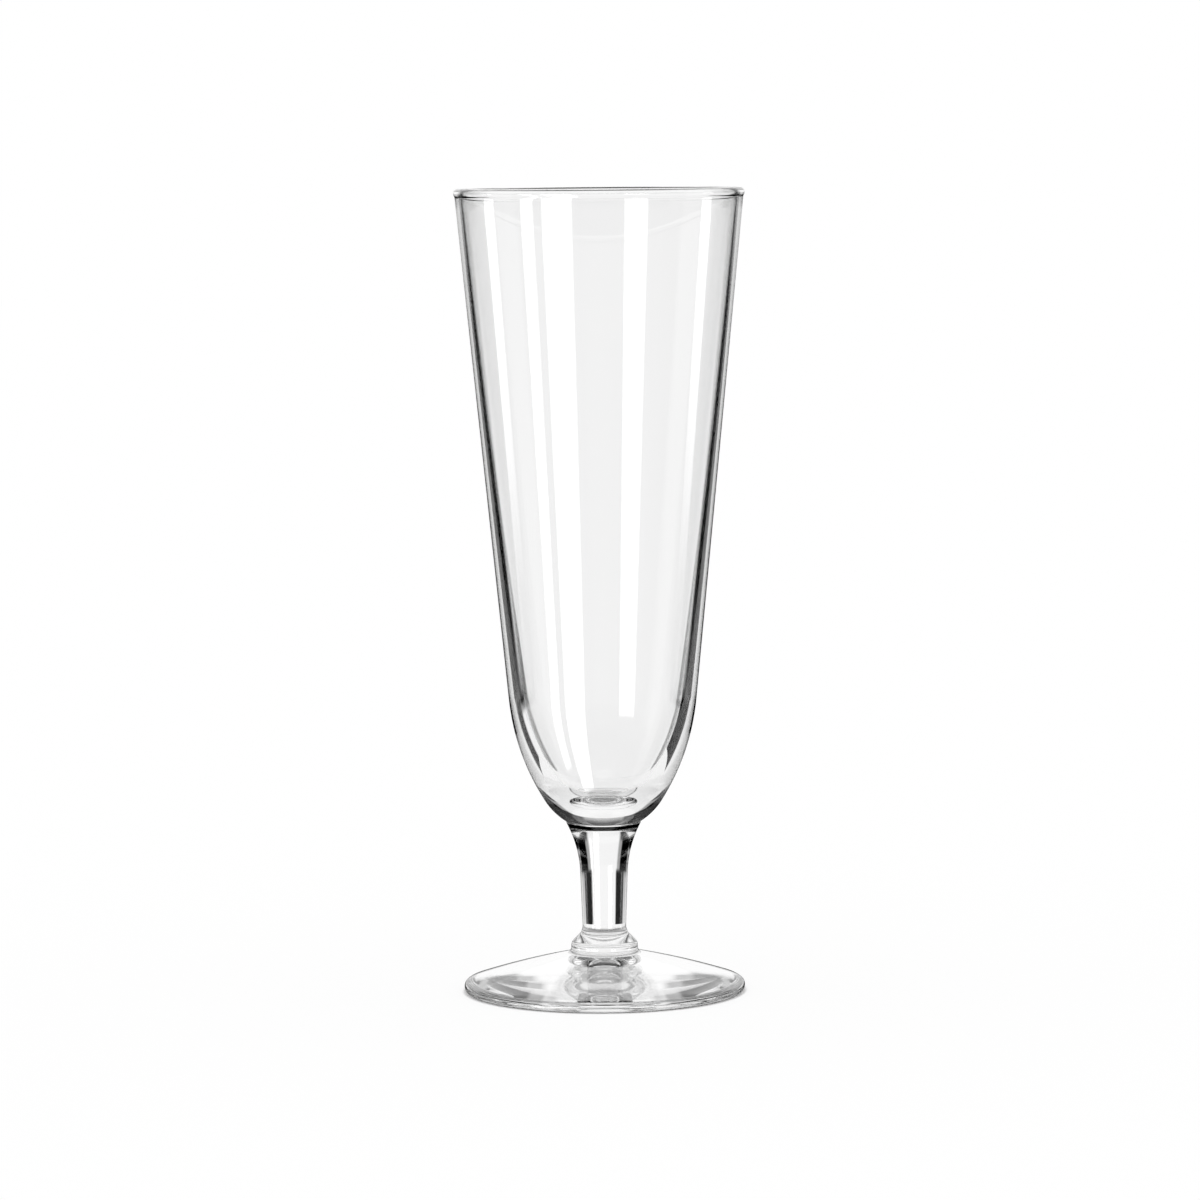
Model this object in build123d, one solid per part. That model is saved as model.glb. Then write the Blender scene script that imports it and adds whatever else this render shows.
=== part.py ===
from build123d import *
import os
from math import cos, radians, sin, sqrt

# Pilsner glass, in millimetres. A blown bowl, a drawn stem, a pressed collar and a domed
# foot of clear soda-lime glass, fused hot into one footed drinking glass.
# Every piece is turned about +Z. The origin is the centre of the ring that the foot
# stands on. In the outlines the first number is a radius and the second a height.

# Foot: a shallow dome with a rounded edge, pressed to a nearly even thickness. Its hollow
# underside is a low cup under the collar, and from the cup's edge it slopes to the rest ring
foot_diameter = 72.4
foot_edge_radius = 1.35
foot_seat_height = 9.75
foot_dome_edge_angle = 18.5
rest_ring_width = 1.6
foot_cup_diameter = 21.6
foot_cup_edge_height = 4.8
foot_cup_rise = 0.8
foot_hollow_slope_angle = 11.0

# Collar: the pressed ring between the stem and the foot
collar_height = 7.05
collar_diameter = 17.16
collar_base_diameter = 18.7
collar_slope_angle = 45.0
collar_neck_drop = 1.4
collar_flare_height = 1.55
collar_shoulder_radius = 2.0

# Stem: a solid rod, a little thicker upwards, that flares out under the bowl
stem_length = 27.1
stem_foot_diameter = 11.22
stem_neck_diameter = 12.26
stem_neck_height = 14.0
stem_top_diameter = 19.2
stem_top_edge_radius = 0.3

# Bowl outside: a straight cone that curves in to the stem in two arcs
bowl_height = 162.5
rim_diameter = 74.3
shoulder_diameter = 48.2
shoulder_height = 31.7
heel_diameter = 30.14
heel_height = 5.48
bowl_seat_diameter = 19.0

# Bowl inside: the wall thickens downwards to a solid bottom
wall_at_rim = 1.8
wall_at_middle = 2.25
wall_at_shoulder = 3.65
cavity_shoulder_height = 26.8
bottom_thickness = 6.3
cavity_corner_diameter = 25.86
cavity_corner_height = 5.92
cavity_floor_diameter = 4.06

# Rim: the wall's edge, melted round by the fire polish and a little proud of the wall
rim_bead_proud = 0.26
rim_blend_radius = 1.5

# The bead holds the glass of the wall's edge, so it is as thick as the wall and its two prouds
rim_bead_radius = wall_at_rim / 2 + rim_bead_proud

# Heights of the fused seams
collar_seam = foot_seat_height + collar_height
bowl_seam = collar_seam + stem_length
rim_height = bowl_seam + bowl_height


def turned(outline):
    """Solid of revolution about +Z of a closed outline in the (radius, height) plane."""
    return revolve(Plane.XZ * make_face(outline), Axis.Z, 360)


def around(centre, start, end):
    """The shorter arc about a centre, from start to end."""
    spoke = (start - centre).length
    middle = centre + ((start - centre) + (end - centre)).normalized() * spoke
    return ThreePointArc(start, middle, end)


def square_to(direction):
    """Unit vector at a right angle to a direction, turned to the left."""
    return Vector(-direction.Y, direction.X).normalized()


def foot_outline():
    edge_centre = Vector(foot_diameter / 2 - foot_edge_radius, foot_edge_radius)
    slope = radians(foot_dome_edge_angle)
    edge_top = edge_centre + Vector(sin(slope), cos(slope)) * foot_edge_radius
    edge_side = edge_centre + Vector(foot_edge_radius, 0)
    edge_bottom = edge_centre - Vector(0, foot_edge_radius)
    ring_inside = edge_bottom - Vector(rest_ring_width, 0)
    hollow_slope = radians(foot_hollow_slope_angle)
    cup_edge = Vector(foot_cup_diameter / 2, foot_cup_edge_height)
    cup_middle = Vector(0, foot_cup_edge_height + foot_cup_rise)
    seat_middle = Vector(0, foot_seat_height)
    seat_edge = Vector(collar_base_diameter / 2, foot_seat_height)
    return [
        Line(seat_middle, seat_edge),
        TangentArc(edge_top, seat_edge, tangent=(-cos(slope), sin(slope))),
        ThreePointArc(edge_top, edge_side, edge_bottom),
        Line(edge_bottom, ring_inside),
        TangentArc(cup_edge, ring_inside, tangent=(cos(hollow_slope), -sin(hollow_slope))),
        TangentArc(cup_middle, cup_edge, tangent=(1, 0)),
        Line(cup_middle, seat_middle),
    ]


def collar_outline():
    stem_radius = stem_foot_diameter / 2
    collar_radius = collar_diameter / 2
    slope = radians(collar_slope_angle)
    slope_top = Vector(stem_radius, collar_seam - collar_neck_drop)
    slope_run = collar_radius - stem_radius
    shoulder_corner = slope_top + Vector(slope_run, -slope_run * cos(slope) / sin(slope))
    neck_end = slope_top + Vector(sin(slope), -cos(slope)) * collar_neck_drop
    stem_edge = Vector(stem_radius, collar_seam)
    flare_top = Vector(collar_radius, foot_seat_height + collar_flare_height)
    base_edge = Vector(collar_base_diameter / 2, foot_seat_height)
    top_middle = Vector(0, collar_seam)
    base_middle = Vector(0, foot_seat_height)
    return [
        Line(top_middle, stem_edge),
        TangentArc(stem_edge, neck_end, tangent=(0, -1)),
        FilletPolyline(neck_end, shoulder_corner, flare_top, radius=collar_shoulder_radius),
        TangentArc(flare_top, base_edge, tangent=(0, -1)),
        Line(base_edge, base_middle),
        Line(base_middle, top_middle),
    ]


def stem_outline():
    foot_edge = Vector(stem_foot_diameter / 2, collar_seam)
    neck = Vector(stem_neck_diameter / 2, collar_seam + stem_neck_height)
    edge_centre = Vector(
        stem_top_diameter / 2 - stem_top_edge_radius, bowl_seam - stem_top_edge_radius
    )
    edge_side = edge_centre + Vector(stem_top_edge_radius, 0)
    edge_top = edge_centre + Vector(0, stem_top_edge_radius)
    foot_middle = Vector(0, collar_seam)
    top_middle = Vector(0, bowl_seam)
    return [
        Line(foot_middle, foot_edge),
        Line(foot_edge, neck),
        TangentArc(neck, edge_side, tangent=neck - foot_edge),
        around(edge_centre, edge_side, edge_top),
        Line(edge_top, top_middle),
        Line(top_middle, foot_middle),
    ]


# The bowl's cone runs from the rim to the shoulder, where the belly arc starts
bead_centre = Vector(rim_diameter / 2 - rim_bead_radius, rim_height - rim_bead_radius)
cone_top = Vector(rim_diameter / 2 - rim_bead_proud, bead_centre.Y)
shoulder = Vector(shoulder_diameter / 2, bowl_seam + shoulder_height)
cone_rise = (cone_top - shoulder).normalized()


def wall_inside(height, thickness):
    """Point on the cavity's wall at a height, a thickness inside the cone."""
    rise_share = (height - shoulder.Y) / (cone_top.Y - shoulder.Y)
    return shoulder + (cone_top - shoulder) * rise_share - Vector(thickness, 0)


def bead_blend(wall_point, wall_rise, outward):
    """Centre of the hollow blend between a wall and the rim bead, below the bead."""
    sunk = (wall_point - bead_centre).dot(outward)
    along = (bead_centre - wall_point).dot(wall_rise)
    reach = rim_bead_radius + rim_blend_radius
    offset = rim_blend_radius + sunk
    below = sqrt(reach**2 - offset**2)
    return wall_point + wall_rise * (along - below) + outward * rim_blend_radius


def bowl_outline():
    floor_height = bowl_seam + bottom_thickness
    cavity_shoulder = floor_height + cavity_shoulder_height
    half_way = (cone_top.Y + cavity_shoulder) / 2
    wall_top = wall_inside(cone_top.Y, wall_at_rim)
    wall_middle = wall_inside(half_way, wall_at_middle)
    wall_foot = wall_inside(cavity_shoulder, wall_at_shoulder)
    whole_wall = ThreePointArc(wall_top, wall_middle, wall_foot)

    outward = square_to(cone_rise) * -1
    outer_blend = bead_blend(cone_top, cone_rise, outward)
    cone_end = outer_blend - outward * rim_blend_radius
    outer_touch = bead_centre + (outer_blend - bead_centre).normalized() * rim_bead_radius

    wall_rise = (whole_wall % 0) * -1
    inward = square_to(wall_rise)
    inner_blend = bead_blend(wall_top, wall_rise, inward)
    wall_end = inner_blend - inward * rim_blend_radius
    inner_touch = bead_centre + (inner_blend - bead_centre).normalized() * rim_bead_radius
    bead_top = bead_centre + Vector(0, rim_bead_radius)

    wall_fall = whole_wall % 1
    corner = Vector(cavity_corner_diameter / 2, floor_height + cavity_corner_height)
    cavity_belly = TangentArc(wall_foot, corner, tangent=wall_fall)
    floor_edge = Vector(cavity_floor_diameter / 2, floor_height)
    floor_middle = Vector(0, floor_height)

    heel_top = Vector(heel_diameter / 2, bowl_seam + heel_height)
    belly = TangentArc(shoulder, heel_top, tangent=cone_rise * -1)
    seat_edge = Vector(bowl_seat_diameter / 2, bowl_seam)
    seat_middle = Vector(0, bowl_seam)
    return [
        Line(floor_middle, floor_edge),
        TangentArc(corner, floor_edge, tangent=cavity_belly % 1),
        cavity_belly,
        TangentArc(wall_foot, wall_end, tangent=wall_fall * -1),
        around(inner_blend, wall_end, inner_touch),
        ThreePointArc(inner_touch, bead_top, outer_touch),
        around(outer_blend, outer_touch, cone_end),
        Line(cone_end, shoulder),
        belly,
        TangentArc(heel_top, seat_edge, tangent=belly % 1),
        Line(seat_edge, seat_middle),
        Line(seat_middle, floor_middle),
    ]


pieces = {
    "foot": turned(foot_outline()),
    "foot_collar": turned(collar_outline()),
    "stem": turned(stem_outline()),
    "bowl": turned(bowl_outline()),
}

os.makedirs("parts", exist_ok=True)
for name, piece in pieces.items():
    piece.label = name
    export_step(piece, f"parts/{name}.step")
    print(name, round(piece.volume), "mm3")
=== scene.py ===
from math import atan2, cos, pi, radians, sin, sqrt, tan

import bpy
from mathutils import Matrix, Vector


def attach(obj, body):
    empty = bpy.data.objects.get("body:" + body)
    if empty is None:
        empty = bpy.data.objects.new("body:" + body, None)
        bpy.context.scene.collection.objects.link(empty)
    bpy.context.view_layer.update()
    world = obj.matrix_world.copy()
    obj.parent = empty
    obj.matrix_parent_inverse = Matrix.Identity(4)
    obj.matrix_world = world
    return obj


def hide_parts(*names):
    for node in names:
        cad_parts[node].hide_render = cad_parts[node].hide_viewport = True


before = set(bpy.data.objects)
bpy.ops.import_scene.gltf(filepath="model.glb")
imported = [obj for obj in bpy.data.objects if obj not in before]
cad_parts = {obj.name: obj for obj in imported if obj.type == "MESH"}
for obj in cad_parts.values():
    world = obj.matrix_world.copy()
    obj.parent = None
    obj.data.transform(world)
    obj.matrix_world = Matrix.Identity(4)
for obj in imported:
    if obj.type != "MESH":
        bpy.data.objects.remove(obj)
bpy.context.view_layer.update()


# Bowl: a tall straight cone of clear soda-lime glass, blown into a mould, with a thick
# solid bottom. Its wall thins upwards to the rim, where the fire polish has melted the cut
# edge into a small round bead that stands a little proud on both sides.
mm = 0.001
spin_steps = 256
merge_distance = 0.01
sharp_edge = radians(25)
bowl_seam = 43.9
rim_height = 206.4
rim_diameter = 74.3
shoulder_diameter = 48.2
shoulder_height = 31.7
heel_diameter = 30.14
heel_height = 5.48
bowl_seat_diameter = 19.0
wall_at_rim = 1.8
wall_at_middle = 2.25
wall_at_shoulder = 3.65
cavity_shoulder_height = 26.8
bottom_thickness = 6.3
cavity_corner_diameter = 25.86
cavity_corner_height = 5.92
cavity_floor_diameter = 4.06
rim_bead_proud = 0.26
rim_blend_radius = 1.5
rim_bead_radius = wall_at_rim / 2 + rim_bead_proud
fused_disc_radius = 9.3


def begin_outline(name, start):
    """One vertex at a radius and a height: the start of a piece's outline in the XZ plane."""
    bpy.ops.object.select_all(action="DESELECT")
    bpy.ops.mesh.primitive_plane_add(size=mm, location=(start.x * mm, 0, start.y * mm))
    bpy.ops.object.transform_apply(location=True, rotation=True, scale=True)
    piece = bpy.context.object
    piece.name = name
    piece.data.name = name
    bpy.ops.object.mode_set(mode="EDIT")
    bpy.ops.mesh.select_all(action="SELECT")
    bpy.ops.mesh.merge(type="CENTER")
    return piece


def straight_to(at, end, steps=1):
    """The outline runs straight on to end. Returns where it ends and its heading there."""
    step = (end - at) / steps * mm
    for _ in range(steps):
        bpy.ops.mesh.extrude_region_move(TRANSFORM_OT_translate={"value": (step.x, 0, step.y)})
    return end, (end - at).normalized()


def bend_to(at, heading, end, steps):
    """The outline leaves at along heading and bends on one arc to end."""
    chord = end - at
    side = Vector((-heading.y, heading.x))
    radius = chord.length_squared / (2 * chord.dot(side))
    centre = (at + side * radius) * mm
    turn = 2 * atan2(heading.x * chord.y - heading.y * chord.x, heading.dot(chord))
    bpy.ops.mesh.spin(steps=steps, angle=turn, center=(centre.x, 0, centre.y), axis=(0, 1, 0))
    return end, Matrix.Rotation(turn, 2) @ heading


def spin_outline(piece):
    """Turns the finished outline once round the glass's axis and closes it on the axis."""
    bpy.ops.mesh.select_all(action="SELECT")
    bpy.ops.mesh.spin(steps=spin_steps, angle=2 * pi, center=(0, 0, 0), axis=(0, 0, 1))
    bpy.ops.mesh.select_all(action="SELECT")
    bpy.ops.mesh.remove_doubles(threshold=merge_distance * mm)
    bpy.ops.mesh.normals_make_consistent(inside=False)
    bpy.ops.object.mode_set(mode="OBJECT")
    bpy.ops.object.shade_smooth_by_angle(angle=sharp_edge)


def arc_heading(first, middle, last):
    """Heading at the last of three points on one arc."""
    turns = [atan2(v.y, v.x) for v in (last - middle, last - first, middle - first)]
    angle = turns[0] + turns[1] - turns[2]
    return Vector((cos(angle), sin(angle)))


bead_centre = Vector((rim_diameter / 2 - rim_bead_radius, rim_height - rim_bead_radius))
cone_top = Vector((rim_diameter / 2 - rim_bead_proud, bead_centre.y))
shoulder = Vector((shoulder_diameter / 2, bowl_seam + shoulder_height))
cone_rise = (cone_top - shoulder).normalized()


def wall_inside(height, thickness):
    """Point on the cavity's wall at a height, a thickness inside the cone."""
    share = (height - shoulder.y) / (cone_top.y - shoulder.y)
    return shoulder + (cone_top - shoulder) * share - Vector((thickness, 0))


def bead_blend(wall_point, wall_rise, outward):
    """Centre of the hollow blend between a wall and the rim bead."""
    offset = rim_blend_radius + (wall_point - bead_centre).dot(outward)
    along = (bead_centre - wall_point).dot(wall_rise)
    below = sqrt((rim_bead_radius + rim_blend_radius) ** 2 - offset**2)
    return wall_point + wall_rise * (along - below) + outward * rim_blend_radius


def on_bead(blend_centre):
    """Point where a blend touches the rim bead."""
    return bead_centre + (blend_centre - bead_centre).normalized() * rim_bead_radius


cavity_floor = bowl_seam + bottom_thickness
cavity_shoulder = cavity_floor + cavity_shoulder_height
wall_top = wall_inside(cone_top.y, wall_at_rim)
wall_middle = wall_inside((cone_top.y + cavity_shoulder) / 2, wall_at_middle)
wall_foot = wall_inside(cavity_shoulder, wall_at_shoulder)
wall_rise = arc_heading(wall_foot, wall_middle, wall_top)
inward = Vector((-wall_rise.y, wall_rise.x))
outward = Vector((cone_rise.y, -cone_rise.x))
inner_blend = bead_blend(wall_top, wall_rise, inward)
outer_blend = bead_blend(cone_top, cone_rise, outward)

at = Vector((0, cavity_floor))
bowl = begin_outline("blown_bowl", at)
at, heading = straight_to(at, Vector((cavity_floor_diameter / 2, cavity_floor)), 2)
corner = Vector((cavity_corner_diameter / 2, cavity_floor + cavity_corner_height))
at, heading = bend_to(at, heading, corner, 14)
at, heading = bend_to(at, heading, wall_foot, 16)
at, heading = bend_to(at, heading, inner_blend - inward * rim_blend_radius, 44)
at, heading = bend_to(at, heading, on_bead(inner_blend), 4)
at, heading = bend_to(at, heading, on_bead(outer_blend), 26)
at, heading = bend_to(at, heading, outer_blend - outward * rim_blend_radius, 4)
at, heading = straight_to(at, shoulder, 36)
heel = Vector((heel_diameter / 2, bowl_seam + heel_height))
at, heading = bend_to(at, heading, heel, 24)
at, heading = bend_to(at, heading, Vector((bowl_seat_diameter / 2, bowl_seam)), 12)
at, heading = straight_to(at, Vector((fused_disc_radius, bowl_seam)))
straight_to(at, Vector((0, bowl_seam)))
spin_outline(bowl)


clear_glass = "#FDFDFD"
soda_lime_ior = 1.52


def hex_colour(code):
    """An sRGB hex colour as Blender's linear red, green, blue and alpha."""
    shares = [int(code[i : i + 2], 16) / 255 for i in (1, 3, 5)]
    return [s / 12.92 if s <= 0.04045 else ((s + 0.055) / 1.055) ** 2.4 for s in shares] + [1]


def node(tree, kind, values=None, **settings):
    """Adds one node. values sets its inputs: a number or colour, or a socket to link."""
    made = tree.nodes.new(kind)
    for key, value in settings.items():
        setattr(made, key, value)
    for key, value in (values or {}).items():
        if isinstance(value, bpy.types.NodeSocket):
            tree.links.new(value, made.inputs[key])
        else:
            made.inputs[key].default_value = value
    return made


def soda_lime_glass(name, ripple_mm, ripple_height_mm, streak=(1, 1, 1)):
    """Clear soda-lime glass, smooth from the fire. What is left of the making is a faint
    ripple in the surface, a few thousandths of a millimetre high, that wavers the edges of
    what the glass mirrors and bends. streak stretches the ripple along an axis."""
    material = bpy.data.materials.new(name)
    material.use_nodes = True
    tree = material.node_tree
    tree.nodes.clear()
    place = node(tree, "ShaderNodeTexCoord")
    stretch = node(
        tree, "ShaderNodeMapping", {"Vector": place.outputs["Object"], "Scale": streak}
    )
    ripple = node(
        tree,
        "ShaderNodeTexNoise",
        {
            "Vector": stretch.outputs["Vector"],
            "Scale": 1 / (ripple_mm * mm),
            "Detail": 1.5,
            "Roughness": 0.35,
        },
    )
    bump = node(
        tree,
        "ShaderNodeBump",
        {"Height": ripple.outputs["Fac"], "Strength": 1.0, "Distance": ripple_height_mm * mm},
    )
    glass = node(
        tree,
        "ShaderNodeBsdfPrincipled",
        {
            "Base Color": hex_colour(clear_glass),
            "Roughness": 0.0,
            "IOR": soda_lime_ior,
            "Transmission Weight": 1.0,
            "Normal": bump.outputs["Normal"],
        },
    )
    node(tree, "ShaderNodeOutputMaterial", {"Surface": glass.outputs["BSDF"]})
    return material


def fused_joint():
    """Where two pieces are melted into one, there is no surface: light goes straight on."""
    material = bpy.data.materials.new("fused_joint")
    material.use_nodes = True
    tree = material.node_tree
    tree.nodes.clear()
    gone = node(
        tree, "ShaderNodeBsdfPrincipled", {"Base Color": hex_colour(clear_glass), "Alpha": 0.0}
    )
    node(tree, "ShaderNodeOutputMaterial", {"Surface": gone.outputs["BSDF"]})
    return material


def finish_piece(piece, material, joints, slot):
    """Gives a piece its glass, opens the discs where it is fused on, and puts it in place.
    joints holds the height and the radius of each fused disc."""
    piece.data.materials.append(material)
    piece.data.materials.append(joint_material)
    for face in piece.data.polygons:
        reach = max(piece.data.vertices[v].co.xy.length for v in face.vertices)
        for height, radius in joints:
            level = abs(face.center.z - height * mm) < merge_distance * mm
            if level and reach < (radius + merge_distance) * mm:
                face.material_index = 1
    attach(piece, "root")
    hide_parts(slot)


joint_material = fused_joint()
bowl_glass = soda_lime_glass("blown_soda_lime_glass", 16, 0.004, (1, 1, 0.3))
finish_piece(bowl, bowl_glass, [(bowl_seam, fused_disc_radius)], "bowl")


# Stem: a short solid rod drawn from the hot glass, a little thicker upwards, that flares
# out under the bowl. It is fused to the bowl at its top and to the collar at its foot.
collar_seam = 16.8
stem_foot_radius = 5.61
stem_neck_radius = 6.13
stem_neck_height = 14.0
stem_top_radius = 9.6
stem_top_edge = stem_top_radius - fused_disc_radius

at = Vector((0, collar_seam))
stem = begin_outline("drawn_stem", at)
at, heading = straight_to(at, Vector((stem_foot_radius, collar_seam)))
at, heading = straight_to(at, Vector((stem_neck_radius, collar_seam + stem_neck_height)), 8)
at, heading = bend_to(at, heading, Vector((stem_top_radius, bowl_seam - stem_top_edge)), 20)
at, heading = bend_to(at, Vector((0, 1)), Vector((fused_disc_radius, bowl_seam)), 5)
straight_to(at, Vector((0, bowl_seam)))
spin_outline(stem)
stem_glass = soda_lime_glass("drawn_soda_lime_glass", 9, 0.003, (1, 1, 0.25))
finish_piece(
    stem,
    stem_glass,
    [(bowl_seam, fused_disc_radius), (collar_seam, stem_foot_radius)],
    "stem",
)


# Collar: the ring of glass between stem and foot, pressed in the same mould as the foot.
# It has a waisted neck, a sloped shoulder and a short upright side that flares at its base.
foot_seam = 9.75
collar_radius = 8.58
collar_base_radius = 9.35
collar_slope = radians(45)
collar_neck_drop = 1.4
collar_flare_height = 1.55
collar_shoulder_radius = 2.0

slope_heading = Vector((sin(collar_slope), -cos(collar_slope)))
slope_top = Vector((stem_foot_radius, collar_seam - collar_neck_drop))
slope_run = collar_radius - stem_foot_radius
shoulder_corner = slope_top + slope_heading * slope_run / sin(collar_slope)
shoulder_cut = collar_shoulder_radius * tan(collar_slope / 2)

at = Vector((0, collar_seam))
collar = begin_outline("pressed_collar", at)
at, heading = straight_to(at, Vector((stem_foot_radius, collar_seam)))
neck_end = slope_top + slope_heading * collar_neck_drop
at, heading = bend_to(at, Vector((0, -1)), neck_end, 10)
at, heading = straight_to(at, shoulder_corner - slope_heading * shoulder_cut, 3)
at, heading = bend_to(at, heading, shoulder_corner - Vector((0, shoulder_cut)), 10)
at, heading = straight_to(at, Vector((collar_radius, foot_seam + collar_flare_height)))
at, heading = bend_to(at, heading, Vector((collar_base_radius, foot_seam)), 8)
straight_to(at, Vector((0, foot_seam)))
spin_outline(collar)
pressed_glass = soda_lime_glass("pressed_soda_lime_glass", 7, 0.003)
finish_piece(
    collar,
    pressed_glass,
    [(collar_seam, stem_foot_radius), (foot_seam, collar_base_radius)],
    "foot_collar",
)


# Foot: a shallow dome of pressed soda-lime glass with a rounded edge. Its hollow underside
# is a low cup under the collar and slopes down to the narrow flat ring that it stands on.
foot_radius = 36.2
foot_edge_radius = 1.35
foot_dome_edge = radians(18.5)
rest_ring_width = 1.6
foot_cup_radius = 10.8
foot_cup_edge_height = 4.8
foot_cup_rise = 0.8
foot_hollow_slope = radians(11)

edge_centre = Vector((foot_radius - foot_edge_radius, foot_edge_radius))
dome_rim = edge_centre + Vector((sin(foot_dome_edge), cos(foot_dome_edge))) * foot_edge_radius
dome_heading = Vector((cos(foot_dome_edge), -sin(foot_dome_edge)))
seat_edge = Vector((collar_base_radius, foot_seam))


def mirrored_heading(heading, chord):
    """Heading at the other end of an arc with this chord."""
    along = chord.normalized()
    return along * (2 * heading.dot(along)) - heading


at = Vector((0, foot_seam))
foot = begin_outline("pressed_foot", at)
at, heading = straight_to(at, seat_edge)
dome_start = mirrored_heading(dome_heading, dome_rim - seat_edge)
at, heading = bend_to(at, dome_start, dome_rim, 30)
at, heading = bend_to(at, heading, edge_centre - Vector((0, foot_edge_radius)), 18)
ring_inside = at - Vector((rest_ring_width, 0))
at, heading = straight_to(at, ring_inside, 2)
cup_edge = Vector((foot_cup_radius, foot_cup_edge_height))
hollow_heading = Vector((cos(foot_hollow_slope), -sin(foot_hollow_slope)))
hollow_start = mirrored_heading(hollow_heading, ring_inside - cup_edge) * -1
at, heading = bend_to(at, hollow_start, cup_edge, 30)
cup_middle = Vector((0, foot_cup_edge_height + foot_cup_rise))
bend_to(at, mirrored_heading(Vector((-1, 0)), cup_middle - at), cup_middle, 12)
spin_outline(foot)
finish_piece(foot, pressed_glass, [(foot_seam, collar_base_radius)], "foot")


# Table: the plain matt white surface that the glass stands on. Under the foot it has a soft
# shadow, partly real and partly painted shade in its material. Its middle is a disc of its own,
# the only part that shows in the glass, because the studio's floor draws the rest of what the
# glass bends.
table_gap = 0.1
table_middle_radius = 110
table_radius = 6000
table_edge_steps = 96
own_light = 0.85

# Painted shade: the table's own light is turned down under the middle of the foot and along its
# rest ring, so the glass's real shadow on the paint shows there
painted_shade_middle = 22
painted_shade_core = painted_shade_middle * 0.4
painted_shade_left = 0.2
contact_painted_shade_inner = 34.3
contact_painted_shade_outer = 37.0
contact_painted_shade_soft = 0.8


def table_paint_with_painted_shade(name, colour):
    """Matt white paint, lit by the room. Most of it shows by its own light, so that the
    ground stays a clean white. That light is turned down by distance from the axis under the
    middle
    of the foot and along its rest ring: painted shade, through which the glass's real shadow
    shows."""
    material = bpy.data.materials.new(name)
    material.use_nodes = True
    tree = material.node_tree
    tree.nodes.clear()
    place = node(tree, "ShaderNodeTexCoord")
    reach = node(tree, "ShaderNodeVectorMath", {0: place.outputs["Object"]}, operation="LENGTH")
    steps = []
    # Painted shade by radius: a soft disc under the foot's middle, and both edges of a dark
    # ring under its rest ring
    for dark, light, least in (
        (painted_shade_core, painted_shade_middle, painted_shade_left),
        (contact_painted_shade_inner, contact_painted_shade_inner - contact_painted_shade_soft, 0.0),
        (contact_painted_shade_outer - contact_painted_shade_soft, contact_painted_shade_outer, 0.0),
    ):
        step = node(
            tree,
            "ShaderNodeMapRange",
            {
                "Value": reach.outputs["Value"],
                "From Min": dark * mm,
                "From Max": light * mm,
                "To Min": least * own_light,
                "To Max": own_light,
            },
            interpolation_type="SMOOTHSTEP",
        )
        steps.append(step.outputs["Result"])
    middle, inside, outside = steps
    # The painted shade of the ring and of the disc together set the share of the table's own
    # light
    ring = node(tree, "ShaderNodeMath", {0: inside, 1: outside}, operation="MAXIMUM")
    share = node(
        tree, "ShaderNodeMath", {0: middle, 1: ring.outputs[0]}, operation="MINIMUM"
    ).outputs[0]
    paint = node(tree, "ShaderNodeBsdfDiffuse", {"Color": hex_colour(colour)})
    ground = node(tree, "ShaderNodeEmission", {"Color": hex_colour(colour), "Strength": 1.0})
    both = node(
        tree,
        "ShaderNodeMixShader",
        {0: share, 1: paint.outputs["BSDF"], 2: ground.outputs["Emission"]},
    )
    node(tree, "ShaderNodeOutputMaterial", {"Surface": both.outputs["Shader"]})
    return material


# The table's material, with the painted shade under the foot
table_material = table_paint_with_painted_shade("matt_white_table_with_painted_shade", "#FFFFFF")
for name, radius, drop in (
    ("table_middle", table_middle_radius, table_gap),
    ("table", table_radius, 2 * table_gap),
):
    bpy.ops.object.select_all(action="DESELECT")
    bpy.ops.mesh.primitive_circle_add(
        vertices=table_edge_steps,
        radius=radius * mm,
        fill_type="NGON",
        location=(0, 0, -drop * mm),
    )
    top = bpy.context.object
    top.name = name
    top.data.materials.append(table_material)
    top.visible_glossy = False
    top.visible_transmission = name == "table_middle"


# Studio: a grey room. Behind the glass stands a white screen over a white floor, with black
# cards on both sides of it and a dark ceiling, which draw the dark edges of clear glass.
# Around it stand tall soft windows, which draw the upright highlights down the bowl.
front_wall_light = 0.456
side_wall_light = 0.345
ceiling_light = 0.045
upper_wall_light = 1.2
window_light = 4.5
window_side_soft = 1.5
window_top = 0

room = bpy.data.worlds.new("white_studio")
bpy.context.scene.world = room
room.use_nodes = True
tree = room.node_tree
tree.nodes.clear()
view = node(tree, "ShaderNodeTexCoord")
axes = node(tree, "ShaderNodeSeparateXYZ", {0: view.outputs["Generated"]})


def math(operation, *values):
    """One sum on numbers or sockets."""
    return node(
        tree, "ShaderNodeMath", dict(enumerate(values)), operation=operation
    ).outputs[0]


def ramp(value, start, end, low=0.0, high=1.0):
    """low before start, high after end, and a soft step between."""
    return node(
        tree,
        "ShaderNodeMapRange",
        {"Value": value, "From Min": start, "From Max": end, "To Min": low, "To Max": high},
        interpolation_type="SMOOTHSTEP",
    ).outputs["Result"]


def band(value, low, high, soft):
    """1 between low and high, with soft edges."""
    return math(
        "MULTIPLY",
        ramp(value, low - soft / 2, low + soft / 2),
        ramp(value, high - soft / 2, high + soft / 2, 1.0, 0.0),
    )


# Directions are in degrees: the bearing from the camera's side, to the right, and the height
degrees = 180 / pi
front = math("MULTIPLY", axes.outputs["Y"], -1.0)
bearing = math("MULTIPLY", math("ARCTAN2", axes.outputs["X"], front), degrees)
aside = math("ABSOLUTE", bearing)
height = math("MULTIPLY", math("ARCSINE", axes.outputs["Z"]), degrees)

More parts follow.
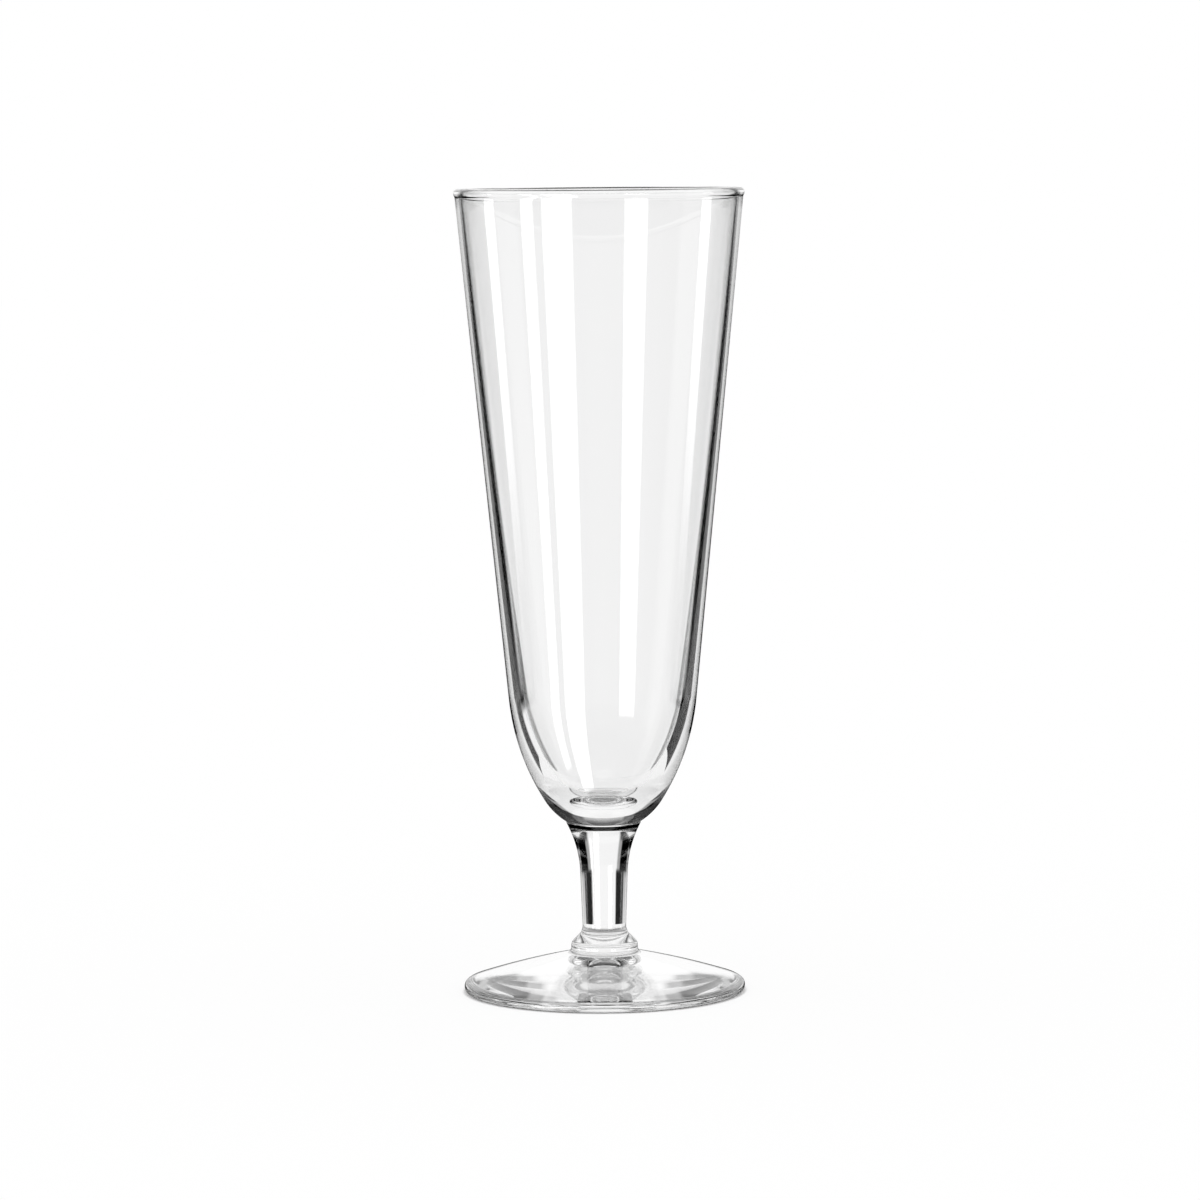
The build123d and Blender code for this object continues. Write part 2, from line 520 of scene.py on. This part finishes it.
# What the glass bends: first the walls, the ceiling, the white screens and the floor
wall_level = ramp(aside, 50, 70, front_wall_light, side_wall_light)
below_ceiling = ramp(height, 17, 23, 1.0, 0.0)
room_level = math("ADD", math("MULTIPLY", wall_level, below_ceiling), ceiling_light)
back_screen = math("MULTIPLY", ramp(aside, 152.5, 159), ramp(height, 25, 55, 1.0, 0.0))
side_screen = math("MULTIPLY", band(aside, 76, 104, 6), ramp(height, 13, 30, 1.0, 0.0))
far_floor = ramp(height, -20, -17, 1.0, 0.0)
near_floor = math("MULTIPLY", ramp(height, -12, -3, 1.0, 0.0), ramp(aside, 70, 95, 1.0, 0.0))
side_floor = math("MULTIPLY", band(aside, 60, 134, 4), band(height, -17, -4, 2))
seen_through = room_level
for part in (back_screen, side_screen, far_floor, near_floor, side_floor):
    seen_through = math("MAXIMUM", seen_through, part)

# The far floor right behind the glass lies in shade, and the black cards stand beside it
far_shade = math("MULTIPLY", ramp(aside, 150, 158), ramp(height, -36, -26, 1.0, 0.0))
seen_through = math("MULTIPLY", seen_through, math("SUBTRACT", 1.0, far_shade))
for side, inner, outer, bottom, top, soft in (
    (aside, 136, 158.5, -14, -4, 3),
    (aside, 121, 150, -5, 27, 3),
    (bearing, 130.3, 156, -45, -14, 3),
    (bearing, -153, -122, -17, -14, 3),
    (bearing, -158, -142, -43, -15, 5),
):
    card = math("MULTIPLY", band(side, inner, outer, soft), band(height, bottom, top, soft))
    seen_through = math("MULTIPLY", seen_through, math("SUBTRACT", 1.0, card))

# What the glass mirrors: the soft windows, the light upper walls and the screen behind
windows = math(
    "MAXIMUM",
    ramp(height, 14, 22, 0.0, upper_wall_light),
    math("MULTIPLY", ramp(aside, 120, 150), ramp(height, -4, 2, 0.0, 1.0)),
)
for left, right, bottom, soft in (
    (-105.5, -94, -11, 5),
    (-66.5, -55, -44, 3),
    (-47.5, -22, -60, 3),
    (20.5, 40, -21, 3),
    (91, 102.5, -11, 5),
):
    across = band(bearing, left, right, window_side_soft)
    window = math("MULTIPLY", across, band(height, bottom, window_top, soft))
    windows = math("ADD", windows, math("MULTIPLY", window, window_light))

# The last turn of a ray decides which of the two it sees. Everything else sees plain white
path = node(tree, "ShaderNodeLightPath")
in_glass = node(
    tree,
    "ShaderNodeMix",
    {0: path.outputs["Is Reflection Ray"], 2: seen_through, 3: windows},
    data_type="FLOAT",
).outputs[0]
glass_ray = math("MAXIMUM", path.outputs["Is Glossy Ray"], path.outputs["Is Transmission Ray"])
strength = node(
    tree, "ShaderNodeMix", {0: glass_ray, 2: 1.0, 3: in_glass}, data_type="FLOAT"
).outputs[0]
light = node(
    tree, "ShaderNodeBackground", {"Color": hex_colour("#FFFFFF"), "Strength": strength}
)
node(tree, "ShaderNodeOutputWorld", {"Surface": light.outputs["Background"]})


# Camera: a long lens just above the rim's height, 1.28 m in front of the glass, tipped down
# a little towards the foot and rolled by less than half a degree. The place is in metres.
camera_place = (-0.000494, -1.27743, 0.21654)
camera_tip = radians(5.16674)
camera_roll = radians(-0.435144)
camera_data = bpy.data.cameras.new("camera")
camera_data.lens = 149.95
camera_data.sensor_width = 36
camera = bpy.data.objects.new("camera", camera_data)
bpy.context.scene.collection.objects.link(camera)
forward = Vector((0, cos(camera_tip), -sin(camera_tip)))
right = Vector((1, 0, 0))
up = right.cross(forward)
rolled_right = right * cos(camera_roll) + up * sin(camera_roll)
rolled_up = up * cos(camera_roll) - right * sin(camera_roll)
turn = Matrix((rolled_right, rolled_up, -forward)).transposed().to_4x4()
camera.matrix_world = Matrix.Translation(camera_place) @ turn

# Light passes many walls of glass before it leaves, so rays may bend and mirror many times
scene = bpy.context.scene
scene.camera = camera
scene.view_settings.view_transform = "Standard"
scene.cycles.max_bounces = 32
scene.cycles.transmission_bounces = 32
scene.cycles.glossy_bounces = 16
scene.cycles.transparent_max_bounces = 24
